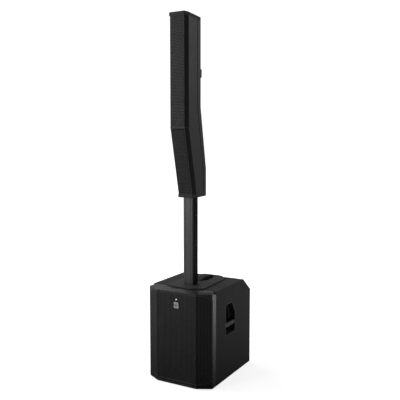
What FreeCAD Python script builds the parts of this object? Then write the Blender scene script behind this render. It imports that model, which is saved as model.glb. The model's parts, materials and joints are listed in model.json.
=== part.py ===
import FreeCAD, Part
import math
import os

# Column loudspeaker: subwoofer cabinet, rectangular pole, slim driver column.
# Millimetres. Front faces -Y, +Z is up, origin under the middle of the cabinet at floor level.

os.makedirs("parts", exist_ok=True)
V = FreeCAD.Vector

# ---------------------------------------------------------------- driving dimensions
FOOT_H = 4.0
CAB_HALF = 166.5
CAB_FRONT = -217.0
CAB_REAR = 217.0
CAB_H = 435.0
CAB_BOT = FOOT_H
CAB_TOP = FOOT_H + CAB_H
WALL = 12.0
REAR_CUT_Y = 135.0
REAR_CUT_Z = CAB_TOP - 67.0

FACET_W = 64.0
FACET_D = 35.0
FASCIA_REAR = -147.0
GRILLE_LOW = FOOT_H + 17.0
GRILLE_HIGH = FOOT_H + 424.0
RIM_Z = FOOT_H + 430.5

PLATE_H = 5.0
PLATE_TOP = CAB_TOP + PLATE_H

POLE_Y = -86.0
POLE_HW = 25.5
POLE_HD = 24.0
POLE_WALL = 3.0
SOCKET_GAP = 0.3
SOCKET_WALL = 4.0
SOCKET_FLOOR = 352.0

GRIP_Y = 46.0
GRIP_RX = 34.0
GRIP_RY = 54.0
GRIP_FLOOR = 400.0

WOOFER_Z = 238.0
WOOFER_R = 131.0
PORT_X = 88.0
PORT_Z = 74.0

ARR_BOT = 851.0
ARR_TOP = 1661.0
ARR_BEND = 1164.0
ARR_REAR_BEND = 1261.0
ARR_REAR_LOW = 977.0
ARR_FRONT = -201.0
ARR_REAR = -48.0
ARR_SHIFT = 71.0
ARR_REAR_SHIFT = 51.0
ARR_FLAT = 36.0
ARR_HALF = 44.0
ARR_FACET = 26.0
ARR_BACK_HALF = 32.0
ARR_WALL = 4.0
CAP_H = 16.0
TILT = math.degrees(math.atan2(ARR_SHIFT, ARR_BEND - ARR_BOT))

SHAPES = {}


# ---------------------------------------------------------------- helpers
def box(x0, x1, y0, y1, z0, z1):
    return Part.makeBox(x1 - x0, y1 - y0, z1 - z0, V(x0, y0, z0))


def rod(x, y, z, r, h, axis=(0, 0, 1)):
    return Part.makeCylinder(r, h, V(x, y, z), V(*axis))


def yrod(x, z, r, y0, y1):
    return Part.makeCylinder(r, y1 - y0, V(x, y0, z), V(0, 1, 0))


def plan(points, z0, z1):
    wire = Part.makePolygon([V(x, y, z0) for x, y in points] + [V(points[0][0], points[0][1], z0)])
    return Part.Face(wire).extrude(V(0, 0, z1 - z0))


def side(points, x0, x1):
    wire = Part.makePolygon([V(x0, y, z) for y, z in points] + [V(x0, points[0][0], points[0][1])])
    return Part.Face(wire).extrude(V(x1 - x0, 0, 0))


def front(points, y0, y1):
    wire = Part.makePolygon([V(x, y0, z) for x, z in points] + [V(points[0][0], y0, points[0][1])])
    return Part.Face(wire).extrude(V(0, y1 - y0, 0))


def fillet_along(shape, axis, r):
    edges = []
    for e in shape.Edges:
        d = e.Vertexes[-1].Point.sub(e.Vertexes[0].Point)
        if d.Length > 1e-6 and abs(abs(d.dot(V(*axis))) / d.Length - 1.0) < 1e-6:
            edges.append(e)
    return shape.makeFillet(r, edges)


def rbox(x0, x1, y0, y1, z0, z1, r, axis=(0, 0, 1)):
    return fillet_along(box(x0, x1, y0, y1, z0, z1), axis, r)


def revolve_y(profile, x, z):
    # profile: list of (radius, y) around an axis parallel to Y through (x, z)
    pts = [V(x + r, y, z) for r, y in profile]
    face = Part.Face(Part.makePolygon(pts + [pts[0]]))
    return face.revolve(V(x, 0, z), V(0, 1, 0), 360)


def keep_below(shape, origin, normal):
    n = V(*normal)
    n.normalize()
    slab = Part.makeBox(2000, 2000, 400, V(-1000, -1000, 0))
    slab.Placement = FreeCAD.Placement(V(*origin), FreeCAD.Rotation(V(0, 0, 1), n))
    return shape.cut(slab)


def plane_normal(a, b, c):
    n = V(*b).sub(V(*a)).cross(V(*c).sub(V(*a)))
    if n.z < 0:
        n = n.multiply(-1)
    return (n.x, n.y, n.z)


def offset_polygon(points, t):
    # counter-clockwise polygon, positive t moves every side inwards
    n = len(points)
    lines = []
    for i in range(n):
        ax, ay = points[i]
        bx, by = points[(i + 1) % n]
        length = math.hypot(bx - ax, by - ay)
        nx, ny = -(by - ay) / length, (bx - ax) / length
        lines.append((nx, ny, nx * ax + ny * ay + t))
    out = []
    for i in range(n):
        a1, b1, c1 = lines[i - 1]
        a2, b2, c2 = lines[i]
        det = a1 * b2 - a2 * b1
        out.append(((c1 * b2 - c2 * b1) / det, (a1 * c2 - a2 * c1) / det))
    return out


def loft(sections):
    wires = []
    for pts, z in sections:
        ring = [V(x, y, z) for x, y in pts]
        wires.append(Part.makePolygon(ring + [ring[0]]))
    return Part.makeLoft(wires, True, True)


def mirror_x(shape):
    return shape.mirror(V(0, 0, 0), V(1, 0, 0))


def fuse(items):
    base = items[0]
    for item in items[1:]:
        base = base.fuse(item)
    return base.removeSplitter()


def cut(base, tools):
    for tool in tools:
        base = base.cut(tool)
    return base


def save(name, shape):
    SHAPES[name] = shape


# ---------------------------------------------------------------- subwoofer: cabinet outline
def rear_offset(t):
    dy, dz = REAR_CUT_Y - CAB_REAR, CAB_TOP - REAR_CUT_Z
    length = math.hypot(dy, dz)
    ny, nz = dz / length, -dy / length
    c = ny * CAB_REAR + nz * REAR_CUT_Z - t
    y_in = CAB_REAR - t
    z_in = CAB_TOP - t
    return (y_in, (c - ny * y_in) / nz), ((c - nz * z_in) / ny, z_in)


def cabinet_profile(t, y_front):
    low, high = rear_offset(t)
    return [(y_front, CAB_BOT + t), (CAB_REAR - t, CAB_BOT + t), low, high, (y_front, CAB_TOP - t)]


AMP_HX = 118.0
AMP_Z0 = FOOT_H + 40.0
AMP_Z1 = FOOT_H + 352.0
SOCKET_OUT_X = POLE_HW + SOCKET_GAP + SOCKET_WALL
SOCKET_OUT_Y = POLE_HD + SOCKET_GAP + SOCKET_WALL
HANDLE = [(-53, 208), (47, 208), (47, 304), (13, 358), (-53, 358)]
HANDLE_IN = [(-50, 211), (44, 211), (44, 303), (11, 355), (-50, 355)]
BAR_Z0, BAR_Z1 = 245.0, 265.0


def ellipse_prism(cx, cy, rx, ry, z0, z1):
    if rx >= ry:
        e = Part.Ellipse(V(cx, cy, z0), rx, ry)
        edge = e.toShape()
    else:
        e = Part.Ellipse(V(0, 0, 0), ry, rx)
        edge = e.toShape()
        edge.rotate(V(0, 0, 0), V(0, 0, 1), 90)
        edge.translate(V(cx, cy, z0))
    return Part.Face(Part.Wire([edge])).extrude(V(0, 0, z1 - z0))


socket_envelope = rbox(-SOCKET_OUT_X, SOCKET_OUT_X, POLE_Y - SOCKET_OUT_Y, POLE_Y + SOCKET_OUT_Y,
                       SOCKET_FLOOR - 6, PLATE_TOP, 6)
grip_envelope = ellipse_prism(0, GRIP_Y, GRIP_RX + 3, GRIP_RY + 3, GRIP_FLOOR - 3, PLATE_TOP)

cabinet = side(cabinet_profile(0, FASCIA_REAR), -CAB_HALF, CAB_HALF)
rear_edges = [e for e in cabinet.Edges
              if abs(e.CenterOfMass.y - CAB_REAR) < 0.1 and abs(abs(e.CenterOfMass.x) - CAB_HALF) < 0.1]
cabinet = cabinet.makeChamfer(3.0, rear_edges)
cabinet = cabinet.cut(side(cabinet_profile(WALL, FASCIA_REAR - 1), -CAB_HALF + WALL, CAB_HALF - WALL))
cabinet = cabinet.cut(box(-AMP_HX, AMP_HX, CAB_REAR - 20, CAB_REAR + 5, AMP_Z0, AMP_Z1))
cabinet = cut(cabinet, [socket_envelope, grip_envelope])
handle_cutter = side(HANDLE, CAB_HALF - 20, CAB_HALF + 5)
cabinet = cut(cabinet, [handle_cutter, mirror_x(handle_cutter)])
save("sub_cabinet", cabinet)

BRACE_Y = 106.0
BRACE_WINDOW_HX = 124.0
brace = box(-CAB_HALF + WALL, CAB_HALF - WALL, BRACE_Y, BRACE_Y + WALL, CAB_BOT + WALL, CAB_TOP - WALL)
for z0, z1 in ((54, 212), (240, 386)):
    brace = brace.cut(rbox(-BRACE_WINDOW_HX, BRACE_WINDOW_HX, BRACE_Y - 8, BRACE_Y + 20,
                           z0, z1, 20, (0, 1, 0)))
save("cabinet_brace", brace)

# ---------------------------------------------------------------- subwoofer: baffle, ports, woofer
baffle = box(-CAB_HALF + WALL, CAB_HALF - WALL, FASCIA_REAR, FASCIA_REAR + 18,
             CAB_BOT + WALL, CAB_TOP - WALL)
baffle = baffle.cut(yrod(0, WOOFER_Z, 118, FASCIA_REAR - 1, FASCIA_REAR + 20))
for sx in (-1, 1):
    baffle = baffle.cut(yrod(sx * PORT_X, PORT_Z, 30, FASCIA_REAR - 1, FASCIA_REAR + 20))
save("sub_baffle", baffle)

ports = []
for sx in (-1, 1):
    tube = revolve_y([(27, -12), (30, -12), (30, FASCIA_REAR), (38, FASCIA_REAR),
                      (37, FASCIA_REAR - 4), (33, FASCIA_REAR - 5), (29, FASCIA_REAR - 2),
                      (27, FASCIA_REAR + 10)], sx * PORT_X, PORT_Z)
    ports.append(tube)
save("port_tubes", Part.makeCompound(ports))

flange = revolve_y([(118, FASCIA_REAR), (WOOFER_R, FASCIA_REAR), (WOOFER_R, FASCIA_REAR - 4),
                    (WOOFER_R - 2, FASCIA_REAR - 6), (118, FASCIA_REAR - 6)], 0, WOOFER_Z)
frame_wall = revolve_y([(114, FASCIA_REAR - 6), (118, FASCIA_REAR - 6), (118, FASCIA_REAR + 8),
                        (76, -58), (76, -50), (36, -50), (36, -54), (72, -54), (72, -60),
                        (114, FASCIA_REAR + 6)], 0, WOOFER_Z)
frame_wall = frame_wall.cut(yrod(0, WOOFER_Z, 114, FASCIA_REAR - 8, FASCIA_REAR + 4))
windows = []
for i in range(6):
    w = rbox(-24, 24, FASCIA_REAR + 22, -72, 60, 140, 6, (0, 0, 1))
    w.rotate(V(0, 0, 0), V(0, 1, 0), i * 60 + 30)
    w.translate(V(0, 0, WOOFER_Z))
    windows.append(w)
basket = cut(fuse([flange, frame_wall]), windows)
screw_spots = []
for i in range(8):
    a = math.radians(i * 45 + 22.5)
    screw_spots.append((124.5 * math.cos(a), WOOFER_Z + 124.5 * math.sin(a)))
for x, z in screw_spots:
    basket = basket.cut(yrod(x, z, 2.5, FASCIA_REAR - 8, FASCIA_REAR + 1))
save("woofer_basket", basket)

screws = []
for x, z in screw_spots:
    head = yrod(x, z, 4.5, FASCIA_REAR - 9, FASCIA_REAR - 6)
    head = head.cut(yrod(x, z, 2.0, FASCIA_REAR - 9.5, FASCIA_REAR - 7.4))
    screws.append(head.fuse(yrod(x, z, 2.4, FASCIA_REAR - 6, FASCIA_REAR)))
save("woofer_screws", Part.makeCompound(screws))

magnet = revolve_y([(27, -50), (60, -50), (60, -44), (75, -44), (75, -24), (66, -24), (66, -16),
                    (0, -16), (0, -52), (23, -52), (23, -24), (27, -24)], 0, WOOFER_Z)
save("woofer_magnet", magnet)

roll = []
for i in range(13):
    a = math.pi * i / 12
    roll.append((109.5 + 8.5 * math.cos(a), FASCIA_REAR - 6.2 - 8.5 * math.sin(a)))
inner_roll = []
for i in range(13):
    a = math.pi * (12 - i) / 12
    inner_roll.append((109.5 + 7.3 * math.cos(a), FASCIA_REAR - 6.2 - 7.3 * math.sin(a)))
save("woofer_surround", revolve_y(roll + inner_roll, 0, WOOFER_Z))

cone = revolve_y([(100.4, FASCIA_REAR - 7), (100.4, FASCIA_REAR - 5.5), (30, -108), (25.8, -104),
                  (25.8, -36), (25.0, -36), (25.0, -110), (28, -111.5)], 0, WOOFER_Z)
dome = []
for i in range(9):
    a = math.radians(90 - i * 10)
    dome.append((34 * math.cos(a) * 1.0, -100 - 26 * math.sin(a)))
dome_in = [(max(r - 0.8, 0.0), y + 0.9) for r, y in reversed(dome)]
cap = revolve_y(dome + dome_in, 0, WOOFER_Z)
cone = fuse([cone, cap])
save("woofer_cone", cone)

# ---------------------------------------------------------------- subwoofer: front frame and grille
FASCIA = [(-CAB_HALF + FACET_W, CAB_FRONT), (CAB_HALF - FACET_W, CAB_FRONT),
          (CAB_HALF, CAB_FRONT + FACET_D), (CAB_HALF, FASCIA_REAR),
          (-CAB_HALF, FASCIA_REAR), (-CAB_HALF, CAB_FRONT + FACET_D)]


def fascia_outline(t_front, t_side, y_rear):
    # the three front planes move in by t_front, the sides by t_side
    k = math.hypot(FACET_W, FACET_D)
    yf = CAB_FRONT + t_front
    xc = CAB_HALF - FACET_W - t_front * (k - FACET_W) / FACET_D
    xs = CAB_HALF - t_side
    ys = yf + (xs - xc) * FACET_D / FACET_W
    return [(-xc, yf), (xc, yf), (xs, ys), (xs, y_rear), (-xs, y_rear), (-xs, ys)]


def bevel_top(solid, z_edge, back, drop):
    a = (0, CAB_FRONT, z_edge)
    solid = keep_below(solid, a, (0, -drop, back))
    k = math.hypot(FACET_W, FACET_D)
    for sx in (-1, 1):
        n = (sx * FACET_D / k * drop, -FACET_W / k * drop, back)
        solid = keep_below(solid, (sx * CAB_HALF, CAB_FRONT + FACET_D, z_edge), n)
        p1 = (sx * CAB_HALF, CAB_FRONT + FACET_D, z_edge)
        p2 = (sx * CAB_HALF, FASCIA_REAR, z_edge - 6.5)
        p3 = (sx * (CAB_HALF - 14), FASCIA_REAR, CAB_TOP)
        solid = keep_below(solid, p1, plane_normal(p1, p2, p3))
    return solid


fascia = bevel_top(plan(FASCIA, CAB_BOT, CAB_TOP), RIM_Z, 26.0, CAB_TOP - RIM_Z)
fascia = fascia.cut(plan(fascia_outline(-1, WALL, FASCIA_REAR + 1), GRILLE_LOW + 12, GRILLE_HIGH - 12))
seat = plan(fascia_outline(-5, -5, FASCIA_REAR), GRILLE_LOW, GRILLE_HIGH)
seat = seat.cut(plan(fascia_outline(2.4, -10, FASCIA_REAR + 1), GRILLE_LOW - 1, GRILLE_HIGH + 1))
CORNER_X = 32.0
CORNER_Z = 19.0
for sx in (-1, 1):
    for z_edge, up in ((GRILLE_LOW, 1), (GRILLE_HIGH, -1)):
        tri = [(sx * (CAB_HALF - CORNER_X), z_edge - up * 0.01), (sx * (CAB_HALF + 10), z_edge - up * 0.01),
               (sx * (CAB_HALF + 10), z_edge + up * CORNER_Z * (CORNER_X + 10) / CORNER_X)]
        seat = seat.cut(front(tri, CAB_FRONT - 20, FASCIA_REAR))
fascia = fascia.cut(seat)
groove = plan(fascia_outline(-5, -5, FASCIA_REAR), CAB_BOT + 7.0, CAB_BOT + 9.0)
groove = groove.cut(plan(fascia_outline(1.6, -10, FASCIA_REAR + 1), CAB_BOT, CAB_BOT + 20))
fascia = fascia.cut(groove)
save("front_fascia", fascia)

grille = plan(fascia_outline(0.6, 0.4, CAB_FRONT + FACET_D + 14), GRILLE_LOW + 0.3, GRILLE_HIGH - 0.3)
grille = grille.cut(plan(fascia_outline(2.4, -10, FASCIA_REAR + 1), 0, 500))
for sx in (-1, 1):
    for z_edge, up in ((GRILLE_LOW, 1), (GRILLE_HIGH, -1)):
        tri = [(sx * (CAB_HALF - CORNER_X - 0.6), z_edge - up * 5), (sx * (CAB_HALF + 10), z_edge - up * 5),
               (sx * (CAB_HALF + 10), z_edge + up * (0.4 + CORNER_Z * (CORNER_X + 10) / CORNER_X)),
               (sx * (CAB_HALF - CORNER_X - 0.6), z_edge + up * 0.4)]
        grille = grille.cut(front(tri, CAB_FRONT - 20, FASCIA_REAR))
BADGE = (-12.5, 12.5, 359.0, 387.0)
grille = grille.cut(rbox(BADGE[0], BADGE[1], CAB_FRONT - 2, CAB_FRONT + 6, BADGE[2], BADGE[3], 3, (0, 1, 0)))
grille = grille.cut(yrod(0, 399, 2.5, CAB_FRONT - 2, CAB_FRONT + 6))
save("sub_grille", grille)

save("grille_badge", rbox(BADGE[0], BADGE[1], CAB_FRONT, CAB_FRONT + 4, BADGE[2], BADGE[3], 3, (0, 1, 0)))
save("front_led", yrod(0, 399, 2.5, CAB_FRONT, CAB_FRONT + 4))

# ---------------------------------------------------------------- subwoofer: top plate, socket, grip
TOP_PLATE = [(-50, -166), (50, -166), (98, -140), (88, 103), (46, REAR_CUT_Y),
             (-46, REAR_CUT_Y), (-88, 103), (-98, -140)]
FACET_DROP = 1.6
plate = plan(TOP_PLATE, CAB_TOP, PLATE_TOP)
for sx in (-1, 1):
    a = (sx * 97, -140, PLATE_TOP)
    b = (sx * 43, 88, PLATE_TOP)
    c = (sx * 88, 88, PLATE_TOP - FACET_DROP)
    plate = keep_below(plate, a, plane_normal(a, b, c))
plate = cut(plate, [socket_envelope, grip_envelope])
save("top_plate", plate)

socket = socket_envelope.cut(rbox(-POLE_HW - SOCKET_GAP, POLE_HW + SOCKET_GAP,
                                  POLE_Y - POLE_HD - SOCKET_GAP, POLE_Y + POLE_HD + SOCKET_GAP,
                                  SOCKET_FLOOR, PLATE_TOP + 1, 3.6))
save("pole_socket", socket)

connector = rbox(-13, 13, POLE_Y - 9, POLE_Y + 9, SOCKET_FLOOR, SOCKET_FLOOR + 9, 3)
pins = [connector]
for i in range(4):
    for j in (-1, 1):
        pins.append(rod(-9 + 6 * i, POLE_Y + 4 * j, SOCKET_FLOOR + 9, 1.0, 6))
save("socket_connector", fuse(pins))

grip_cup = grip_envelope.cut(ellipse_prism(0, GRIP_Y, GRIP_RX, GRIP_RY, GRIP_FLOOR, PLATE_TOP + 1))
save("grip_cup", grip_cup)

GRIP_HALF = 17.0
grip_y0, grip_y1 = GRIP_Y - GRIP_RY, GRIP_Y + GRIP_RY
grip = side([(grip_y0 - 14, PLATE_TOP), (grip_y0 - 6, PLATE_TOP + 7), (grip_y0 + 18, PLATE_TOP + 12),
             (GRIP_Y + 8, PLATE_TOP + 14), (grip_y1 - 16, PLATE_TOP + 12), (grip_y1 + 6, PLATE_TOP + 6),
             (grip_y1 + 13, PLATE_TOP), (grip_y1, PLATE_TOP), (grip_y1 - 10, PLATE_TOP + 1),
             (GRIP_Y + 8, PLATE_TOP + 2), (grip_y0 + 12, PLATE_TOP + 1), (grip_y0, PLATE_TOP)],
            -GRIP_HALF, GRIP_HALF)
long_edges = [e for e in grip.Edges
              if e.CenterOfMass.z > PLATE_TOP + 2.5 and abs(abs(e.CenterOfMass.x) - GRIP_HALF) < 0.1]
grip = grip.makeFillet(3.0, long_edges)
save("top_grip", grip)


# ---------------------------------------------------------------- subwoofer: side handles
def handle_cup():
    outer = side(HANDLE, CAB_HALF - 64, CAB_HALF)
    pocket = side(HANDLE_IN, CAB_HALF - 27, CAB_HALF + 1)
    deep = side([(-50, 214), (30, 214), (30, 298), (2, 342), (-50, 342)], CAB_HALF - 61, CAB_HALF - 26)
    cup = cut(outer, [pocket, deep])
    bar = side([(-50.5, BAR_Z0), (44.5, BAR_Z0), (44.5, BAR_Z1), (-50.5, BAR_Z1)],
               CAB_HALF - 18, CAB_HALF - 1.5)
    bar = fillet_along(bar, (0, 1, 0), 4)
    return fuse([cup, bar])


right_cup = handle_cup()
save("handle_cup_right", right_cup)
save("handle_cup_left", mirror_x(right_cup))

feet = []
for x, y in ((-146, -166), (146, -166), (-140, 188), (140, 188)):
    foot = Part.makeCone(11, 13, FOOT_H, V(x, y, 0), V(0, 0, 1))
    feet.append(foot)
save("rubber_feet", Part.makeCompound(feet))

# ---------------------------------------------------------------- subwoofer: rear control panel
PANEL_Y0 = 194.0
PANEL_Y1 = 197.0
bezel = box(-AMP_HX, AMP_HX, 188, CAB_REAR, AMP_Z0, AMP_Z1)
bezel = bezel.cut(rbox(-AMP_HX + 7, AMP_HX - 7, PANEL_Y0, CAB_REAR + 1, AMP_Z0 + 7, AMP_Z1 - 7, 8, (0, 1, 0)))
bezel = bezel.cut(box(-AMP_HX + 13, AMP_HX - 13, 187, PANEL_Y0 + 1, AMP_Z0 + 13, AMP_Z1 - 13))
save("amp_bezel", bezel)

px0, px1 = -AMP_HX + 7.2, AMP_HX - 7.2
pz0, pz1 = AMP_Z0 + 7.2, AMP_Z1 - 7.2
panel = rbox(px0, px1, PANEL_Y0, PANEL_Y1, pz0, pz1, 7.8, (0, 1, 0))
KNOB_Z = 304.0
KNOB_X = (-84.0, -46.0, -8.0, 30.0)
ENCODER = (82.0, 262.0)
BUTTON = (82.0, 228.0)
COMBO = ((-76.0, 252.0), (-34.0, 252.0))
LINK = (8.0, 252.0)
AUX = ((42.0, 262.0), (42.0, 240.0))
INLET = (-72.0, 188.0)
ROCKER = (-22.0, 188.0)
DISPLAY = (82.0, 306.0)

holes = []
for x in KNOB_X:
    holes.append(yrod(x, KNOB_Z, 3.6, 190, 200))
holes.append(yrod(ENCODER[0], ENCODER[1], 3.6, 190, 200))
holes.append(yrod(BUTTON[0], BUTTON[1], 5.4, 190, 200))
for x, z in COMBO + (LINK,):
    holes.append(yrod(x, z, 12.3, 190, 200))
for x, z in AUX:
    holes.append(yrod(x, z, 5.0, 190, 200))
holes.append(box(INLET[0] - 14, INLET[0] + 14, 190, 200, INLET[1] - 12, INLET[1] + 12))
holes.append(box(ROCKER[0] - 11, ROCKER[0] + 11, 190, 200, ROCKER[1] - 14, ROCKER[1] + 14))
holes.append(box(DISPLAY[0] - 18, DISPLAY[0] + 18, 190, 200, DISPLAY[1] - 12, DISPLAY[1] + 12))
panel_screw_spots = []
for z in (pz0 + 9, (pz0 + pz1) / 2, pz1 - 9):
    for sx in (-1, 1):
        panel_screw_spots.append((sx * (px1 - 7), z))
for sx in (-1, 1):
    panel_screw_spots.append((sx * 40, pz0 + 7))
    panel_screw_spots.append((sx * 40, pz1 - 7))
for x, z in panel_screw_spots:
    holes.append(yrod(x, z, 1.6, 190, 200))
save("amp_panel", cut(panel, holes))

panel_screws = []
for x, z in panel_screw_spots:
    head = yrod(x, z, 3.2, PANEL_Y1, PANEL_Y1 + 2)
    head = head.cut(yrod(x, z, 1.4, PANEL_Y1 + 0.8, PANEL_Y1 + 3))
    panel_screws.append(head.fuse(yrod(x, z, 1.5, PANEL_Y0, PANEL_Y1)))
save("panel_screws", Part.makeCompound(panel_screws))

fins = [box(-96, 96, PANEL_Y1, PANEL_Y1 + 3, 66, 152)]
for i in range(17):
    x = -96 + 12 * i
    fins.append(box(x - 1.0 if i else x, x + 1.0 if i < 16 else x, PANEL_Y1 + 2, PANEL_Y1 + 17, 66, 152))
save("heat_sink", fuse(fins))

board = [box(-92, 92, 150, 153, 60, 230)]
board.append(box(-80, 80, 153, 190, 78, 96))
board.append(box(-80, 80, 153, 190, 120, 138))
for i in range(4):
    board.append(rod(-60 + 40 * i, 150, 200, 12, 30, (0, -1, 0)))
save("amp_board", fuse(board))

supply = [box(-70, 70, 180, 183, 236, 340)]
supply.append(box(-60, -10, 140, 180, 250, 300))
for i in range(3):
    supply.append(rod(14 + 20 * i, 180, 322, 8, 26, (0, -1, 0)))
supply = fuse(supply)
for x, z in COMBO + (LINK,):
    supply = supply.cut(yrod(x, z, 14.0, 170, 195))
save("power_supply", supply)

inlet = box(INLET[0] - 14, INLET[0] + 14, 176, PANEL_Y1, INLET[1] - 12, INLET[1] + 12)
inlet = inlet.fuse(rbox(INLET[0] - 24, INLET[0] + 24, PANEL_Y1, PANEL_Y1 + 3, INLET[1] - 15, INLET[1] + 15, 4,
                        (0, 1, 0)))
inlet = inlet.cut(rbox(INLET[0] - 12, INLET[0] + 12, 180, PANEL_Y1 + 4,
                       INLET[1] - 8.5, INLET[1] + 8.5, 3, (0, 1, 0)))
blades = [inlet]
for dx, dz in ((-7, -1.5), (0, 2.5), (7, -1.5)):
    blades.append(box(INLET[0] + dx - 1, INLET[0] + dx + 1, 179, PANEL_Y1 - 3,
                      INLET[1] + dz - 2.5, INLET[1] + dz + 2.5))
save("mains_inlet", fuse(blades))

rocker_axis_y = PANEL_Y1 - 1.0
housing = box(ROCKER[0] - 11, ROCKER[0] + 11, 178, PANEL_Y1, ROCKER[1] - 14, ROCKER[1] + 14)
housing = housing.fuse(rbox(ROCKER[0] - 13, ROCKER[0] + 13, PANEL_Y1, PANEL_Y1 + 2.5,
                            ROCKER[1] - 16, ROCKER[1] + 16, 2, (0, 1, 0)))
housing = housing.cut(box(ROCKER[0] - 7.5, ROCKER[0] + 7.5, 184, PANEL_Y1 + 4,
                          ROCKER[1] - 12, ROCKER[1] + 12))
housing = housing.cut(Part.makeCylinder(1.55, 20, V(ROCKER[0] - 10, rocker_axis_y, ROCKER[1]), V(1, 0, 0)))
save("switch_housing", housing)

rocker = side([(rocker_axis_y - 7, ROCKER[1] - 5), (rocker_axis_y + 1.0, ROCKER[1] - 10.2),
               (rocker_axis_y + 6.5, ROCKER[1] - 9.4), (rocker_axis_y + 4.0, ROCKER[1]),
               (rocker_axis_y + 6.5, ROCKER[1] + 9.4), (rocker_axis_y + 1.0, ROCKER[1] + 10.2),
               (rocker_axis_y - 7, ROCKER[1] + 5)], ROCKER[0] - 7.2, ROCKER[0] + 7.2)
rocker = rocker.fuse(Part.makeCylinder(1.5, 19, V(ROCKER[0] - 9.5, rocker_axis_y, ROCKER[1]), V(1, 0, 0)))
rocker = rocker.removeSplitter()
rocker.rotate(V(ROCKER[0], rocker_axis_y, ROCKER[1]), V(1, 0, 0), -10)
save("power_rocker", rocker)

jacks = []
for x, z in COMBO:
    j = yrod(x, z, 12.0, 172, PANEL_Y1)
    j = j.fuse(rbox(x - 15, x + 15, PANEL_Y1, PANEL_Y1 + 2, z - 17, z + 17, 4, (0, 1, 0)))
    j = j.fuse(yrod(x, z, 12.8, PANEL_Y1 + 2, PANEL_Y1 + 3.5))
    j = j.cut(yrod(x, z, 9.6, 178, PANEL_Y1 + 5))
    core = yrod(x, z, 7.6, 177, PANEL_Y1 + 1)
    core = core.cut(yrod(x, z, 3.4, 179, PANEL_Y1 + 3))
    j = j.fuse(core)
    for k in range(3):
        a = math.radians(90 + 120 * k)
        j = j.cut(yrod(x + 5.6 * math.cos(a), z + 5.6 * math.sin(a), 1.3, 182, PANEL_Y1 + 3))
    jacks.append(j)
save("combo_jacks", Part.makeCompound(jacks))

x, z = LINK
link = yrod(x, z, 12.0, 172, PANEL_Y1)
link = link.fuse(rbox(x - 15, x + 15, PANEL_Y1, PANEL_Y1 + 2, z - 17, z + 17, 4, (0, 1, 0)))
link = link.cut(yrod(x, z, 10.0, 178, PANEL_Y1 + 5))
for k in range(3):
    a = math.radians(90 + 120 * k)
    link = link.fuse(yrod(x + 4.2 * math.cos(a), z + 4.2 * math.sin(a), 1.2, 177, PANEL_Y1))
save("link_jack", link)

aux = []
for x, z in AUX:
    a = yrod(x, z, 5.0, 186, PANEL_Y1 + 0.1)
    a = a.fuse(yrod(x, z, 7.0, PANEL_Y1, PANEL_Y1 + 1.5))
    a = a.fuse(yrod(x, z, 4.4, PANEL_Y1 + 1.5, PANEL_Y1 + 8))
    a = a.cut(yrod(x, z, 2.9, 189, PANEL_Y1 + 9))
    aux.append(a)
save("aux_jacks", Part.makeCompound(aux))

display = box(DISPLAY[0] - 18, DISPLAY[0] + 18, 187, PANEL_Y1, DISPLAY[1] - 12, DISPLAY[1] + 12)
display = display.fuse(rbox(DISPLAY[0] - 20, DISPLAY[0] + 20, PANEL_Y1, PANEL_Y1 + 1.2,
                            DISPLAY[1] - 14, DISPLAY[1] + 14, 2, (0, 1, 0)))
save("display_window", display)


def knob(x, z, r, length):
    body = Part.makeCone(r, r * 0.88, length, V(x, PANEL_Y1 + 0.6, z), V(0, 1, 0))
    notches = []
    for k in range(12):
        a = math.radians(30 * k + 15)
        notches.append(yrod(x + (r + 0.4) * math.cos(a), z + (r + 0.4) * math.sin(a), 1.1,
                            PANEL_Y1 + 3, PANEL_Y1 + length + 2))
    body = cut(body, notches)
    body = body.fuse(yrod(x, z, 3.5, PANEL_Y1 - 9, PANEL_Y1 + 1))
    body = body.cut(box(x - 0.5, x + 0.5, PANEL_Y1 + length - 0.2, PANEL_Y1 + length + 2, z + 1, z + r + 1))
    return body


for i, x in enumerate(KNOB_X):
    save("level_knob_%d" % (i + 1), knob(x, KNOB_Z, 7.5, 13))
save("encoder_knob", knob(ENCODER[0], ENCODER[1], 9.5, 14))
button = yrod(BUTTON[0], BUTTON[1], 5.3, PANEL_Y1 - 4, PANEL_Y1 + 3.5)
button = button.fuse(yrod(BUTTON[0], BUTTON[1], 6.4, PANEL_Y1 - 7, PANEL_Y1 - 4))
save("select_button", button)

# ---------------------------------------------------------------- pole
POLE_BOT = SOCKET_FLOOR + 6.0
POLE_TOP = ARR_BOT - 0.2


def pole_section(z0, z1, inset, r):
    hx, hy = POLE_HW - inset, POLE_HD - inset
    return rbox(-hx, hx, POLE_Y - hy, POLE_Y + hy, z0, z1, r)


tube = pole_section(POLE_BOT, POLE_TOP, 0, 3.5)
tube = tube.cut(pole_section(POLE_BOT - 1, POLE_TOP + 1, POLE_WALL, 1.5))
GROOVE = 1.2
for sx in (-1, 1):
    tube = tube.cut(box(sx * 13 - 1.2, sx * 13 + 1.2, POLE_Y - POLE_HD - 1, POLE_Y - POLE_HD + GROOVE,
                        POLE_BOT - 1, POLE_TOP + 1))
    tube = tube.cut(box(sx * 13 - 1.2, sx * 13 + 1.2, POLE_Y + POLE_HD - GROOVE, POLE_Y + POLE_HD + 1,
                        POLE_BOT - 1, POLE_TOP + 1))
    xa, xb = (POLE_HW - GROOVE, POLE_HW + 1) if sx > 0 else (-POLE_HW - 1, -POLE_HW + GROOVE)
    for sy in (-1, 1):
        yc = POLE_Y + sy * 10
        tube = tube.cut(box(xa, xb, yc - 3.0, yc + 3.0, POLE_BOT - 1, POLE_TOP + 1))
save("pole_tube", tube)

foot = pole_section(SOCKET_FLOOR + 0.3, POLE_BOT, 0.2, 3.0)
foot = foot.fuse(pole_section(POLE_BOT, POLE_BOT + 50, POLE_WALL, 1.5))
foot = foot.cut(box(-15, 15, POLE_Y - 11, POLE_Y + 11, SOCKET_FLOOR, SOCKET_FLOOR + 20))
foot = foot.cut(rod(0, POLE_Y, SOCKET_FLOOR, 7, 80))
save("pole_foot", foot)

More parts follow.
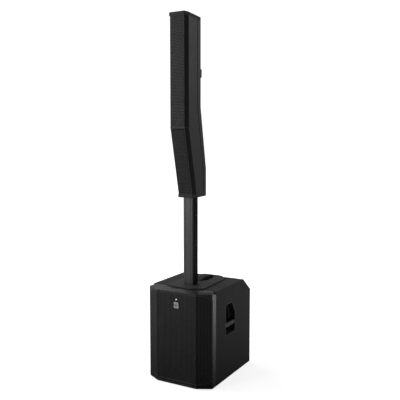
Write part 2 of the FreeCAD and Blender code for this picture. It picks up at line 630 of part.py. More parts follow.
HEAD_HX = 19.5
HEAD_HY = 17.5
HEAD_TOP = ARR_BOT + 64
head = pole_section(POLE_TOP - 50, POLE_TOP, POLE_WALL, 1.5)
head = head.fuse(rbox(-HEAD_HX, HEAD_HX, POLE_Y - HEAD_HY, POLE_Y + HEAD_HY, POLE_TOP - 1, HEAD_TOP, 4))
head = head.cut(rod(0, POLE_Y, POLE_TOP - 60, 7, HEAD_TOP - POLE_TOP + 50))
for i in range(4):
    head = head.fuse(rod(-9 + 6 * i, POLE_Y, HEAD_TOP - 1, 1.2, 6))
save("pole_head", head)

loom = []
loom_z0 = POLE_BOT + 50
loom_z1 = POLE_TOP - 50
for i in range(3):
    a = math.radians(120 * i + 30)
    loom.append(rod(3.0 * math.cos(a), POLE_Y + 3.0 * math.sin(a), loom_z0 - 20, 2.7, loom_z1 - loom_z0 + 40))
save("pole_harness", fuse(loom))


# ---------------------------------------------------------------- column: outline
def arr_front(z):
    if z >= ARR_BEND:
        return ARR_FRONT
    return ARR_FRONT + ARR_SHIFT * (ARR_BEND - z) / (ARR_BEND - ARR_BOT)


def arr_rear(z):
    if z >= ARR_REAR_BEND:
        return ARR_REAR
    if z <= ARR_REAR_LOW:
        return ARR_REAR + ARR_REAR_SHIFT
    return ARR_REAR + ARR_REAR_SHIFT * (ARR_REAR_BEND - z) / (ARR_REAR_BEND - ARR_REAR_LOW)


def arr_plan(z, recess=0.0):
    yf = arr_front(z)
    yr = arr_rear(z)
    return [(-ARR_FLAT, yf + recess), (ARR_FLAT, yf + recess), (ARR_HALF, yf + ARR_FACET),
            (ARR_BACK_HALF, yr), (-ARR_BACK_HALF, yr), (-ARR_HALF, yf + ARR_FACET)]


def arr_solid(z0, z1, t=0.0, recess=0.0):
    levels = [z0] + [z for z in (ARR_REAR_LOW, ARR_BEND, ARR_REAR_BEND) if z0 < z < z1] + [z1]
    parts = []
    for a, b in zip(levels[:-1], levels[1:]):
        parts.append(loft([(offset_polygon(arr_plan(a, recess), t), a),
                           (offset_polygon(arr_plan(b, recess), t), b)]))
    return fuse(parts)


def arr_profile(z_levels, y_from, y_to):
    # closed side profile that follows the front line between two offsets
    ahead = [(arr_front(z) + y_from, z) for z in z_levels]
    behind = [(arr_front(z) + y_to, z) for z in reversed(z_levels)]
    return ahead + behind


HOUSE_Z0 = ARR_BOT + CAP_H
HOUSE_Z1 = ARR_TOP - CAP_H
shell = arr_solid(HOUSE_Z0, HOUSE_Z1, 0.0, 2.0)
shell = shell.cut(arr_solid(HOUSE_Z0 - 0.001, HOUSE_Z1 + 0.001, ARR_WALL, 2.0))
slot = side(arr_profile([HOUSE_Z0 - 5, ARR_BEND, HOUSE_Z1 + 5], -5, 12), -33, 33)
shell = shell.cut(slot)
seam = []
for z in (HOUSE_Z0 - 5, ARR_REAR_LOW, ARR_REAR_BEND, HOUSE_Z1 + 5):
    seam.append((arr_rear(z) - 34.0, z))
rear_zone = side(seam + [(200, HOUSE_Z1 + 5), (200, HOUSE_Z0 - 5)], -80, 80)
save("array_housing", shell.cut(rear_zone))
save("array_rear_cover", shell.common(rear_zone))

top_plan = [(-38.5, ARR_FRONT - 2.2), (38.5, ARR_FRONT - 2.2), (ARR_HALF, ARR_FRONT + ARR_FACET),
            (ARR_BACK_HALF, ARR_REAR), (-ARR_BACK_HALF, ARR_REAR), (-ARR_HALF, ARR_FRONT + ARR_FACET)]
top_cap = plan(top_plan, HOUSE_Z1, ARR_TOP)
top_cap = top_cap.cut(plan(offset_polygon(top_plan, 5), HOUSE_Z1 - 1, ARR_TOP - 4))
top_edges = [e for e in top_cap.Edges if abs(e.CenterOfMass.z - ARR_TOP) < 0.01]
top_cap = top_cap.makeChamfer(1.2, top_edges)
save("array_top_cap", top_cap)


def bottom_plan(z, grow):
    yf = arr_front(z)
    flat, half, back = ARR_FLAT + grow, ARR_HALF + grow * 0.4, ARR_BACK_HALF
    return [(-flat, yf - grow), (flat, yf - grow), (half, yf + ARR_FACET),
            (back, arr_rear(z)), (-back, arr_rear(z)), (-half, yf + ARR_FACET)]


RECV_HX = 24.5
RECV_HY = 22.5
bottom_cap = loft([(bottom_plan(ARR_BOT, 2.4), ARR_BOT), (bottom_plan(HOUSE_Z0, 1.0), HOUSE_Z0)])
bottom_cap = bottom_cap.cut(plan(offset_polygon(bottom_plan(HOUSE_Z0, 0), 6), ARR_BOT + 4, HOUSE_Z0 + 1))
bottom_cap = bottom_cap.cut(box(-RECV_HX, RECV_HX, POLE_Y - RECV_HY, POLE_Y + RECV_HY,
                                ARR_BOT - 1, ARR_BOT + 30))
save("array_bottom_cap", bottom_cap)

recv = box(-RECV_HX, RECV_HX, POLE_Y - RECV_HY, POLE_Y + RECV_HY, ARR_BOT, HEAD_TOP + 16)
recv = recv.cut(rbox(-HEAD_HX - 0.3, HEAD_HX + 0.3, POLE_Y - HEAD_HY - 0.3, POLE_Y + HEAD_HY + 0.3,
                     ARR_BOT - 1, HEAD_TOP + 0.5, 4.3))
for i in range(4):
    recv = recv.cut(rod(-9 + 6 * i, POLE_Y, HEAD_TOP, 1.6, 8))
save("array_socket", recv)

upper_grille = side(arr_profile([ARR_BEND + 2.0, HOUSE_Z1 - 0.3], 0.3, 1.8), -35.4, 35.4)
save("upper_grille", upper_grille)
lower_grille = side(arr_profile([HOUSE_Z0 + 0.3, ARR_BEND - 2.0], 0.3, 1.8), -35.4, 35.4)
save("lower_grille", lower_grille)

trim_out = offset_polygon(arr_plan(ARR_BEND), -0.9)
trim = plan(trim_out, ARR_BEND - 1.5, ARR_BEND + 1.5)
trim = trim.cut(plan(offset_polygon(arr_plan(ARR_BEND), 0.0), ARR_BEND - 5, ARR_BEND + 5))
trim = trim.cut(box(-80, 80, ARR_FRONT + ARR_FACET - 0.5, 80, ARR_BEND - 5, ARR_BEND + 5))
save("bend_trim", trim)

BRACKET_D = 20.0
block = rbox(-26, 26, ARR_REAR, ARR_REAR + BRACKET_D, 1394, 1434, 5, (0, 1, 0))
for z in (1405, 1423):
    block = block.cut(yrod(0, z, 3.0, ARR_REAR + BRACKET_D - 12, ARR_REAR + BRACKET_D + 1))
save("rear_bracket", block)

cover_screws = []
for z in (1300, 1370, 1460, 1540, 1620):
    for sx in (-1, 1):
        head = yrod(sx * 24, z, 2.8, ARR_REAR, ARR_REAR + 1.6)
        cover_screws.append(head.cut(yrod(sx * 24, z, 1.2, ARR_REAR + 0.6, ARR_REAR + 2)))
save("cover_screws", Part.makeCompound(cover_screws))

# ---------------------------------------------------------------- column: drivers
array_baffle = side(arr_profile([HOUSE_Z0 + 1, ARR_BEND, HOUSE_Z1 - 1], 7.3, 11.3), -33, 33)
UPPER_Z = [1206.0 + 79.0 * i for i in range(6)]
LOWER_Z = [1120.0 - 77.0 * i for i in range(3)]


def place(shape, z):
    # shapes are drawn for a face at y = 0 around the origin, then set on the front line
    s = shape.copy()
    if z < ARR_BEND:
        s.rotate(V(0, 0, 0), V(1, 0, 0), TILT)
    s.translate(V(0, arr_front(z), z))
    return s


bore = yrod(0, 0, 27.5, 3, 20)
for z in UPPER_Z + LOWER_Z:
    array_baffle = array_baffle.cut(place(bore, z))
save("array_baffle", array_baffle)

small_flange = rbox(-31, 31, 4.0, 6.9, -31, 31, 8, (0, 1, 0))
small_flange = small_flange.cut(yrod(0, 0, 27.0, 3, 8))
small_frame = revolve_y([(27.0, 5.1), (27.4, 4.0), (27.4, 12), (20, 30), (20, 34), (12, 34), (12, 32.5),
                         (18.2, 32.5), (18.2, 29.6), (25.4, 12), (25.4, 5.1)], 0, 0)
small_basket = fuse([small_flange, small_frame])
for k in range(4):
    w = box(-6, 6, 14, 27, 10, 40)
    w.rotate(V(0, 0, 0), V(0, 1, 0), 90 * k + 45)
    small_basket = small_basket.cut(w)
small_magnet = revolve_y([(8.4, 34), (19, 34), (19, 47), (0, 47), (0, 34),
                          (6.4, 34), (6.4, 44), (8.4, 44)], 0, 0)
small_roll = revolve_y([(27.0, 4.3), (27.0, 5.0), (25.6, 5.0), (24.2, 3.4), (22.8, 5.0), (22.0, 5.0),
                        (22.0, 4.3), (22.6, 4.3), (24.2, 2.5), (25.8, 4.3)], 0, 0)
small_cone = revolve_y([(21.7, 4.4), (21.7, 5.2), (8.0, 15.5), (8.0, 40), (7.4, 40), (7.4, 15.2),
                        (0, 11.2), (0, 10.4), (4, 11.0), (8.4, 14.0)], 0, 0)

baskets, magnets, surrounds = [], [], []
for z in UPPER_Z + LOWER_Z:
    baskets.append(place(small_basket, z))
    magnets.append(place(small_magnet, z))
    surrounds.append(place(small_roll, z))
save("driver_baskets", Part.makeCompound(baskets))
save("driver_magnets", Part.makeCompound(magnets))
save("driver_surrounds", Part.makeCompound(surrounds))
save("upper_cones", Part.makeCompound([place(small_cone, z) for z in UPPER_Z]))
save("lower_cones", Part.makeCompound([place(small_cone, z) for z in LOWER_Z]))

# ---------------------------------------------------------------- write one STEP per piece
for name in sorted(SHAPES):
    shape = SHAPES[name]
    shape.exportStep("parts/%s.step" % name)
    print(name, len(shape.Solids), round(shape.Volume / 1000.0, 2), shape.isValid())
print(len(SHAPES), "pieces")
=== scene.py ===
import json
import math

import bmesh
import bpy
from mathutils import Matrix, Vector


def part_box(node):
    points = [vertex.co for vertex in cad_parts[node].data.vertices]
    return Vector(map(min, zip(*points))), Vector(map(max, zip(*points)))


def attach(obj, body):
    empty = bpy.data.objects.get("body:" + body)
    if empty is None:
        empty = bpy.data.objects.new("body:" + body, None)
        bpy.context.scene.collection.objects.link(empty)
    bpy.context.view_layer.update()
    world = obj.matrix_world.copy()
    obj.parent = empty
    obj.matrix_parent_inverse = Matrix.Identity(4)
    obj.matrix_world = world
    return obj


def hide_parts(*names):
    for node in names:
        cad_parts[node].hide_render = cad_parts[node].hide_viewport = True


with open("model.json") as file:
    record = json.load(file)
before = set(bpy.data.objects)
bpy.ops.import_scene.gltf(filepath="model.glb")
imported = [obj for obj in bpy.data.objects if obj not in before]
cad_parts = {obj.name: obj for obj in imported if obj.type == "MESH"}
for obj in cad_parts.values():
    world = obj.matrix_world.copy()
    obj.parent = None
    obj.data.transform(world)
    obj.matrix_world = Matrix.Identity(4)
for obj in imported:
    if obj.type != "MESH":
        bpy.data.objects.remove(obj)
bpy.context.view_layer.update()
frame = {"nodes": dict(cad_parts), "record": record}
NODES = frame["nodes"]
BODY_OF = {n: b for b, ns in frame["record"]["behaviour"]["bodies"].items() for n in ns}
SLOT_OF = {s["node"]: s["material_slot"] for s in frame["record"]["subparts"]}
scene = bpy.context.scene
scene.view_settings.view_transform = "Standard"
scene.view_settings.look = "None"

# ------------------------------------------------------------------ sizes in metres
fascia_low, fascia_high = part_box("front_fascia")
HALF, FRONT = fascia_high[0], fascia_low[1]
FACET_W, FACET_D = 0.064, 0.035
GRILLE_LOW, GRILLE_HIGH = (corner[2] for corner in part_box("sub_grille"))
ARR_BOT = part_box("array_bottom_cap")[0][2]
ARR_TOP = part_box("array_top_cap")[1][2]
ARR_BEND = 1.164
ARR_FRONT, ARR_REAR = -0.201, -0.048
ARR_SHIFT = 0.071
REAR_LOW, REAR_HIGH, REAR_SHIFT = 0.977, 1.261, 0.051
CAP = 0.016


def arr_front(z):
    return ARR_FRONT if z >= ARR_BEND else ARR_FRONT + ARR_SHIFT * (ARR_BEND - z) / (ARR_BEND - ARR_BOT)


def arr_rear(z):
    if z >= REAR_HIGH:
        return ARR_REAR
    if z <= REAR_LOW:
        return ARR_REAR + REAR_SHIFT
    return ARR_REAR + REAR_SHIFT * (REAR_HIGH - z) / (REAR_HIGH - REAR_LOW)


# ------------------------------------------------------------------ camera
CAMERA_PLACE = (1.3582, -2.3964, 1.0978)
CAMERA_DOWN, CAMERA_ROUND = 5.57, 29.53
SENSOR, LENS, FAR_CLIP = 36.0, 52.62, 50
cam_data = bpy.data.cameras.new("view")
cam = bpy.data.objects.new("view", cam_data)
scene.collection.objects.link(cam)
cam.location = CAMERA_PLACE
cam.rotation_euler = (math.radians(90 - CAMERA_DOWN), 0, math.radians(CAMERA_ROUND))
cam_data.sensor_width = SENSOR
cam_data.lens = LENS
cam_data.clip_end = FAR_CLIP
scene.camera = cam


# ------------------------------------------------------------------ materials
class Nodes:
    def __init__(self, name):
        self.m = bpy.data.materials.new(name)
        self.m.use_nodes = True
        self.t = self.m.node_tree
        self.b = self.t.nodes["Principled BSDF"]
        self.coord = self.t.nodes.new("ShaderNodeTexCoord").outputs["Object"]

    def mapped(self, scale=(1, 1, 1), rot=(0, 0, 0)):
        n = self.t.nodes.new("ShaderNodeMapping")
        n.inputs["Scale"].default_value = scale
        n.inputs["Rotation"].default_value = rot
        self.t.links.new(self.coord, n.inputs["Vector"])
        return n.outputs["Vector"]

    def noise(self, scale, detail=3.0, rough=0.55, vec=None):
        n = self.t.nodes.new("ShaderNodeTexNoise")
        n.inputs["Scale"].default_value = scale
        n.inputs["Detail"].default_value = detail
        n.inputs["Roughness"].default_value = rough
        self.t.links.new(vec if vec is not None else self.coord, n.inputs["Vector"])
        return n.outputs["Fac"]

    def voronoi(self, scale, feature="F1", vec=None):
        n = self.t.nodes.new("ShaderNodeTexVoronoi")
        n.feature = feature
        n.inputs["Scale"].default_value = scale
        self.t.links.new(vec if vec is not None else self.coord, n.inputs["Vector"])
        return n.outputs["Distance"]

    def span(self, fac, a, b, lo=0.0, hi=1.0):
        n = self.t.nodes.new("ShaderNodeMapRange")
        n.inputs["From Min"].default_value = lo
        n.inputs["From Max"].default_value = hi
        n.inputs["To Min"].default_value = a
        n.inputs["To Max"].default_value = b
        self.t.links.new(fac, n.inputs["Value"])
        return n.outputs["Result"]

    def mix(self, fac, a, b):
        n = self.t.nodes.new("ShaderNodeMix")
        n.data_type = "RGBA"
        for sock, v in ((n.inputs["Factor"], fac), (n.inputs["A"], a), (n.inputs["B"], b)):
            if hasattr(v, "is_linked"):
                self.t.links.new(v, sock)
            elif isinstance(v, (int, float)):
                sock.default_value = v
            else:
                sock.default_value = (*v, 1)
        return n.outputs["Result"]

    def bump(self, height, strength, distance, normal=None):
        n = self.t.nodes.new("ShaderNodeBump")
        n.inputs["Strength"].default_value = strength
        n.inputs["Distance"].default_value = distance
        self.t.links.new(height, n.inputs["Height"])
        if normal is not None:
            self.t.links.new(normal, n.inputs["Normal"])
        return n.outputs["Normal"]

    def pointiness(self, lo, hi):
        g = self.t.nodes.new("ShaderNodeNewGeometry")
        return self.span(g.outputs["Pointiness"], 0.0, 1.0, lo, hi)

    def set(self, socket, value):
        s = self.b.inputs[socket]
        if hasattr(value, "is_linked"):
            self.t.links.new(value, s)
        elif isinstance(value, (int, float)):
            s.default_value = value
        else:
            s.default_value = (*value, 1)


def grey(v, warm=0.0):
    return (v * (1 + warm), v, v * (1 - warm * 0.6) * 1.015)


def grained(name, base, rough, grain=900.0, depth=0.00012, vary=0.18, metal=0.0, wear=0.0, spec=0.5,
            strength=0.5, coat=0.0):
    m = Nodes(name)
    cloud = m.noise(9.0, 4.0)
    speck = m.noise(grain * 1.3, 2.0)
    col = m.mix(cloud, grey(base * (1 - vary)), grey(base * (1 + vary), 0.01))
    col = m.mix(m.span(speck, 0.0, 0.35, 0.45, 0.75), col, grey(base * 1.6))
    if wear:
        col = m.mix(m.pointiness(0.52, 0.62), col, grey(min(1.0, base * (1 + wear))))
    m.set("Base Color", col)
    m.set("Roughness", m.span(m.noise(35.0, 4.0), rough - 0.06, rough + 0.06, 0.3, 0.7))
    m.set("Normal", m.bump(m.noise(grain, 3.0, 0.6), strength, depth))
    m.set("Metallic", metal)
    m.set("Specular IOR Level", spec)
    if coat:
        m.set("Coat Weight", coat)
        m.set("Coat Roughness", 0.25)
    return m.m


def pebbled(name, base, rough, cell=1100.0, depth=0.0003, spec=0.5):
    m = Nodes(name)
    cells = m.voronoi(cell)
    fine = m.noise(2600.0, 2.0)
    cloud = m.noise(7.0, 5.0)
    col = m.mix(cloud, grey(base * 0.88), grey(base * 1.12, 0.01))
    col = m.mix(m.span(cells, 0.25, 0.0, 0.1, 0.6), col, grey(base * 1.5))
    m.set("Base Color", col)
    m.set("Roughness", m.span(fine, rough - 0.08, rough + 0.08, 0.3, 0.7))
    n = m.bump(cells, 0.45, depth)
    m.set("Normal", m.bump(fine, 0.25, depth * 0.3, n))
    m.set("Specular IOR Level", spec)
    return m.m


def brushed(name, base, rough, axis=2, metal=1.0, depth=0.00004, spec=0.5):
    m = Nodes(name)
    sc = [900.0, 900.0, 900.0]
    sc[axis] = 6.0
    streak = m.noise(1.0, 4.0, 0.65, m.mapped(tuple(sc)))
    cloud = m.noise(6.0, 3.0)
    col = m.mix(streak, grey(base * 0.86), grey(base * 1.14))
    col = m.mix(m.span(cloud, 0.0, 0.3), col, grey(base * 1.15, 0.01))
    m.set("Base Color", col)
    m.set("Roughness", m.span(streak, rough - 0.05, rough + 0.07, 0.3, 0.7))
    m.set("Normal", m.bump(streak, 0.35, depth))
    m.set("Metallic", metal)
    m.set("Specular IOR Level", spec)
    return m.m


def foam(name, base):
    m = Nodes(name)
    cells = m.voronoi(650.0)
    m.set("Base Color", m.mix(m.span(cells, 0.0, 1.0, 0.1, 0.7), grey(base), grey(base * 0.35)))
    m.set("Roughness", m.span(cells, 0.95, 0.8, 0.0, 0.8))
    m.set("Normal", m.bump(cells, 0.8, 0.0008))
    m.set("Specular IOR Level", 0.15)
    return m.m


def paper_cone(name, base):
    m = Nodes(name)
    fibre = m.noise(420.0, 5.0, 0.7)
    m.set("Base Color", m.mix(fibre, grey(base * 0.7), grey(base * 1.35)))
    m.set("Roughness", m.span(fibre, 0.7, 0.9, 0.3, 0.7))
    m.set("Normal", m.bump(fibre, 0.5, 0.0004))
    return m.m


def circuit(name):
    m = Nodes(name)
    cells = m.voronoi(95.0)
    track = m.noise(160.0, 2.0)
    c = m.mix(m.span(track, 0.0, 1.0, 0.48, 0.52), (0.012, 0.075, 0.03), (0.02, 0.11, 0.045))
    m.set("Base Color", m.mix(m.span(cells, 1.0, 0.0, 0.1, 0.16), c, (0.55, 0.5, 0.3)))
    m.set("Roughness", m.span(track, 0.35, 0.55))
    m.set("Normal", m.bump(cells, 0.4, 0.0006))
    return m.m


def plywood(name):
    m = Nodes(name)
    grain = m.noise(1.0, 5.0, 0.6, m.mapped((9.0, 40.0, 160.0)))
    m.set("Base Color", m.mix(grain, (0.36, 0.24, 0.13), (0.52, 0.38, 0.22)))
    m.set("Roughness", m.span(grain, 0.6, 0.8))
    m.set("Normal", m.bump(grain, 0.3, 0.0003))
    return m.m


def lamp_lens(name, strength):
    m = Nodes(name)
    ring = m.noise(900.0, 2.0)
    m.set("Base Color", m.mix(ring, (0.8, 0.82, 0.85), (0.95, 0.96, 1.0)))
    m.set("Roughness", m.span(ring, 0.1, 0.25))
    m.set("Emission Color", (1.0, 1.0, 1.0))
    m.set("Emission Strength", strength)
    return m.m


MATS = {
    "cabinet_paint": pebbled("paint_textured_black", 0.030, 0.68, spec=0.22),
    "board": plywood("plywood_raw"),
    "frame_plastic": grained("plastic_frame", 0.018, 0.30, 700.0, 0.00006, wear=0.3, spec=0.45,
                             strength=0.3),
    "cap_plastic": grained("plastic_cap", 0.032, 0.6, wear=0.3, spec=0.25),
    # painted highlight: lighter than the fascia's own black plastic, for the bright reflection along its
    # sides
    "side_band_painted_highlight": grained("plastic_side_band", 0.06, 0.26, 700.0, 0.00005, wear=0.2, spec=0.85,
                         strength=0.2),
    "grille_steel": grained("steel_powder_coat", 0.042, 0.55, 1500.0, 0.00008),
    "badge_silver": brushed("badge_satin", 0.5, 0.36, 0, 0.85),
    "led": lamp_lens("lens_lit", 1.0),
    "cone_paper": paper_cone("pulp_cone", 0.03),
    "steel_dark": grained("ferrite_dark", 0.07, 0.5, metal=0.6),
    "basket_steel": grained("stamped_steel_black", 0.035, 0.4, metal=0.4),
    "surround_rubber": grained("rubber_surround", 0.02, 0.45, 600.0),
    "plate_plastic": grained("plastic_top_plate", 0.040, 0.6, wear=0.3, spec=0.22),
    "cup_plastic": grained("plastic_cup", 0.032, 0.5, wear=0.3),
    "grip_rubber": grained("plastic_grip", 0.024, 0.6, 700.0, wear=0.2, spec=0.2),
    "foot_rubber": grained("rubber_foot", 0.05, 0.8, 400.0),
    "panel_paint": grained("panel_black", 0.030, 0.45, 1800.0, 0.00005, metal=0.2),
    "fins": brushed("fins_anodised", 0.05, 0.42, 2, 0.8),
    "circuit": circuit("circuit_board"),
    "socket_plastic": grained("nylon_black", 0.025, 0.38, 500.0),
    "contact": brushed("contact_plated", 0.6, 0.3, 1, 1.0),
    "knob_plastic": grained("knob_soft_touch", 0.035, 0.6, 1200.0, wear=0.4),
    "switch_red": grained("rocker_black", 0.025, 0.25, 300.0, 0.00002),
    "window": grained("display_glass", 0.012, 0.08, 60.0, 0.00001, coat=0.6),
    "screw": brushed("screw_black_oxide", 0.12, 0.35, 1, 0.9),
    "pole_alu": brushed("pole_anodised", 0.093, 0.38, 2, 0.7),
    # painted shade: the pole's sides in near black, far darker than its anodised front
    "pole_side": grained("pole_side_painted_shade", 0.008, 0.6, 900.0, 0.00005, spec=0.1),
    "loom": grained("wire_sleeve", 0.03, 0.5, 200.0),
    "column_alu": grained("column_powder_coat", 0.028, 0.42, 1300.0, 0.00006, wear=0.3, spec=0.45),
    # painted shade: darker than the column's powder coat, for facets turned away from the lights
    "column_strip_painted_shade": grained("column_dark_strip", 0.010, 0.6, 1300.0, 0.00005, spec=0.15),
    "trim": brushed("trim_satin", 0.05, 0.45, 0, 0.8),
    "gasket": grained("gasket_rubber", 0.008, 0.7, 500.0, spec=0.1),
    "foam": foam("acoustic_foam", 0.010),
    "mark": grained("print_white", 0.65, 0.6, 2000.0, 0.00001),
    "screen_lit": lamp_lens("screen_segments", 0.4),
}


def dress(ob, key):
    ob.data.materials.clear()
    ob.data.materials.append(MATS[key])


# ------------------------------------------------------------------ mesh helpers
def mesh_object(name, verts, faces, key, body):
    me = bpy.data.meshes.new(name)
    me.from_pydata([tuple(v) for v in verts], [], [tuple(int(i) for i in f) for f in faces])
    me.update()
    ob = bpy.data.objects.new(name, me)
    scene.collection.objects.link(ob)
    me.materials.append(MATS[key])
    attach(ob, body)
    return ob


def apply_all(ob):
    dg = bpy.context.evaluated_depsgraph_get()
    me = bpy.data.meshes.new_from_object(ob.evaluated_get(dg))
    ob.modifiers.clear()
    ob.data = me


def clean_copy(node):
    src = NODES[node]
    bm = bmesh.new()
    bm.from_mesh(src.data)
    bmesh.ops.remove_doubles(bm, verts=bm.verts, dist=2e-6)
    bmesh.ops.dissolve_limit(bm, angle_limit=math.radians(0.6), verts=bm.verts, edges=bm.edges)
    me = bpy.data.meshes.new(node + "_look")
    bm.to_mesh(me)
    bm.free()
    return me


def refined(node, width, key, segs=2, angle=20.0):
    me = clean_copy(node)
    for p in me.polygons:
        p.use_smooth = True
    ob = bpy.data.objects.new(node + "_look", me)
    scene.collection.objects.link(ob)
    me.materials.append(MATS[key])
    bev = ob.modifiers.new("edge", "BEVEL")
    bev.width = width
    bev.segments = segs
    bev.limit_method = "ANGLE"
    bev.angle_limit = math.radians(angle)
    bev.use_clamp_overlap = True
    bev.miter_outer = "MITER_ARC"
    even = ob.modifiers.new("normals", "WEIGHTED_NORMAL")
    even.mode = "FACE_AREA"
    even.weight = 100
    apply_all(ob)
    ob.data.materials.clear()
    ob.data.materials.append(MATS[key])
    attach(ob, BODY_OF[node])
    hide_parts(node)
    return ob


def paint_faces(ob, key, test):
    ob.data.materials.append(MATS[key])
    k = len(ob.data.materials) - 1
    for p in ob.data.polygons:
        if test(p.center, p.normal):
            p.material_index = k


def sheet_prism(outline, to_world, back, depth):
    # closed thin plate from a flat outline: verts and faces
    n = len(outline)
    a = [to_world(u, v) for u, v in outline]
    b = [p + back * depth for p in a]
    faces = [list(range(n)), list(range(2 * n - 1, n - 1, -1))]
    for i in range(n):
        j = (i + 1) % n
        faces.append([i, i + n, j + n, j])
    return a + b, faces


def inside(poly, u, v, margins):
    # convex outline, counter-clockwise, with one margin for each edge
    n = len(poly)
    for i in range(n):
        ax, ay = poly[i]
        bx, by = poly[(i + 1) % n]
        length = math.hypot(bx - ax, by - ay)
        if ((bx - ax) * (v - ay) - (by - ay) * (u - ax)) / length < margins[i]:
            return False
    return True


def ring_outline(poly, widths):
    n = len(poly)
    lines = []
    for i in range(n):
        ax, ay = poly[i]
        bx, by = poly[(i + 1) % n]
        length = math.hypot(bx - ax, by - ay)
        nx, ny = -(by - ay) / length, (bx - ax) / length
        lines.append((nx, ny, nx * ax + ny * ay + widths[i]))
    out = []
    for i in range(n):
        a1, b1, c1 = lines[i - 1]
        a2, b2, c2 = lines[i]
        det = a1 * b2 - a2 * b1
        out.append(((c1 * b2 - c2 * b1) / det, (a1 * c2 - a2 * c1) / det))
    return out


RIM_PROUD, RIM_DEPTH, RIM_SKIRT = 0.0002, 0.0012, 0.0006


def hexagon(radius, first):
    turns = [math.radians(first + 60 * k) for k in range(6)]
    return [(radius * math.cos(a), radius * math.sin(a)) for a in turns]


def perforated(poly, origin, eu, ev, back, mesh, rims, avoid=(), upright=False):
    """Verts and faces of a plate with hexagonal holes and a plain rim along each edge of the outline.

    Holes stand in level rows, or in upright columns."""
    verts, faces = [], []
    (pitch, hole), thick = mesh, SHEET
    margins = [max(pitch * 0.48, w * 0.75) for w in rims]

    def at(u, v, d=0.0):
        return origin + eu * u + ev * v + back * d

    along, across = (1, 0) if upright else (0, 1)
    first = 0 if upright else 30
    cell, ring = hexagon(pitch / math.sqrt(3), first), hexagon(hole, first)
    start, stop = min(p[along] for p in poly), max(p[along] for p in poly)
    row = 0
    offset = min(p[across] for p in poly)
    while offset < max(p[across] for p in poly):
        place = start + (pitch / 2 if row % 2 else 0)
        while place < stop:
            u, v = (offset, place) if upright else (place, offset)
            if inside(poly, u, v, margins) and not any(
                    abs(u - c[0]) < c[2] and abs(v - c[1]) < c[3] for c in avoid):
                k0 = len(verts)
                for cu, cv in cell:
                    verts.append(at(u + cu, v + cv))
                for cu, cv in ring:
                    verts.append(at(u + cu, v + cv))
                for cu, cv in ring:
                    verts.append(at(u + cu, v + cv, thick))
                for i in range(6):
                    j = (i + 1) % 6
                    faces.append((k0 + i, k0 + j, k0 + 6 + j, k0 + 6 + i))
                    faces.append((k0 + 6 + i, k0 + 6 + j, k0 + 12 + j, k0 + 12 + i))
            place += pitch
        offset += pitch * math.sqrt(3) / 2
        row += 1
    inner = ring_outline(poly, rims)
    n = len(poly)
    levels = [[(p, -RIM_PROUD) for p in inner], [(p, RIM_DEPTH) for p in inner],
              [(p, thick + RIM_SKIRT) for p in poly], [(p, -RIM_PROUD) for p in poly]]
    k0 = len(verts)
    for level in levels:
        for (pu, pv), d in level:
            verts.append(at(pu, pv, d))
    for a, b in ((1, 0), (0, 3), (3, 2)):
        for i in range(n):
            j = (i + 1) % n
            faces.append((k0 + a * n + i, k0 + a * n + j, k0 + b * n + j, k0 + b * n + i))
    return verts, faces


def merge(parts):
    verts, faces = [], []
    for v, f in parts:
        k = len(verts)
        verts += list(v)
        faces += [tuple(i + k for i in q) for q in f]
    return verts, faces


# ------------------------------------------------------------------ carried-over pieces, edges softened
PLAIN = {
    "sub_cabinet": (0.0018, "cabinet_paint"), "front_fascia": (0.0012, "frame_plastic"),
    "top_plate": (0.0008, "plate_plastic"), "top_grip": (0.001, "grip_rubber"),
    "grip_cup": (0.0008, "cup_plastic"), "pole_socket": (0.0006, "cup_plastic"),
    "handle_cup_right": (0.0012, "cup_plastic"), "handle_cup_left": (0.0012, "cup_plastic"),
    "rubber_feet": (0.0006, "foot_rubber"), "amp_bezel": (0.0008, "frame_plastic"),
    "amp_panel": (0.0004, "panel_paint"), "heat_sink": (0.0003, "fins"),
    "pole_tube": (0.0004, "pole_alu"), "array_top_cap": (0.0008, "cap_plastic"),
    "array_bottom_cap": (0.0008, "frame_plastic"), "rear_bracket": (0.0006, "frame_plastic"),
    "switch_housing": (0.0004, "socket_plastic"), "power_rocker": (0.0004, "switch_red"),
    "mains_inlet": (0.0004, "socket_plastic"), "display_window": (0.0003, "window"),
    "array_housing": (0.0008, "column_alu"), "array_rear_cover": (0.0008, "column_alu"),
}
FLAT_SIDED = ("sub_cabinet", "front_fascia", "top_plate", "array_housing", "array_rear_cover",
              "array_top_cap", "array_bottom_cap")
LOOK = {}
for node, (width, key) in PLAIN.items():
    LOOK[node] = refined(node, width, key, angle=4.0 if node in FLAT_SIDED else 24.0)
for node, ob in NODES.items():
    if node not in PLAIN:
        dress(ob, SLOT_OF[node])

# the pole's grooved sides, the fascia's glossy side bands and the column's narrow front strips: painted
# shade on the pole's sides and on the column's strips, a painted highlight on the fascia's side bands
POLE_SIDE_X = 0.02
STRIP_DEPTH = 0.027
# painted shade: the pole's sides are given the near-black colour
paint_faces(LOOK["pole_tube"], "pole_side", lambda c, n: abs(n.x) > 0.9 and abs(c.x) > POLE_SIDE_X)
# painted highlight: the fascia's sides get the lighter glossy plastic
paint_faces(LOOK["front_fascia"], "side_band_painted_highlight", lambda c, n: abs(n.x) > 0.97 and c.y > FRONT + FACET_D)
# painted shade: the column's front facets get the darker copy of the shell's coat
paint_faces(LOOK["array_housing"], "column_strip_painted_shade",
            lambda c, n: abs(n.x) > 0.8 and n.y < -0.15 and c.y < arr_front(c.z) + STRIP_DEPTH)

